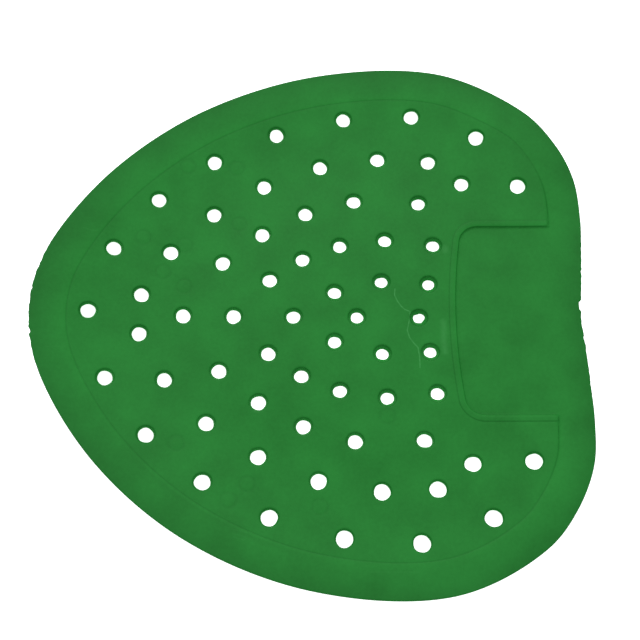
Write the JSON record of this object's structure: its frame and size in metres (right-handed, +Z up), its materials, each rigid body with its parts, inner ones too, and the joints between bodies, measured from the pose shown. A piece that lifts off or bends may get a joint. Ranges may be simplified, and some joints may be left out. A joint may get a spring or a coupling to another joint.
{
  "type": "urinal deodorizer screen",
  "caption": "Flat moulded green vinyl drain screen mat with a rounded triangular outline, round drain holes, a thinner rim and a shallow ridged pocket in its broad end.",
  "frame": {"origin": "centre of the outline's box, on the plane of the flat underside that the mat rests on", "axes": "+X points to the broad end with the pocket, -X to the tip, +Y across the mat, +Z up out of the patterned top face; the mat is mirror-symmetric about the XZ plane"},
  "size_m": [0.1838, 0.1864, 0.0113],
  "materials": {
    "green_vinyl": "soft satin moulded vinyl"
  },
  "bodies": {
    "root": {"screen_mat": "green_vinyl"}
  },
  "joints": []
}
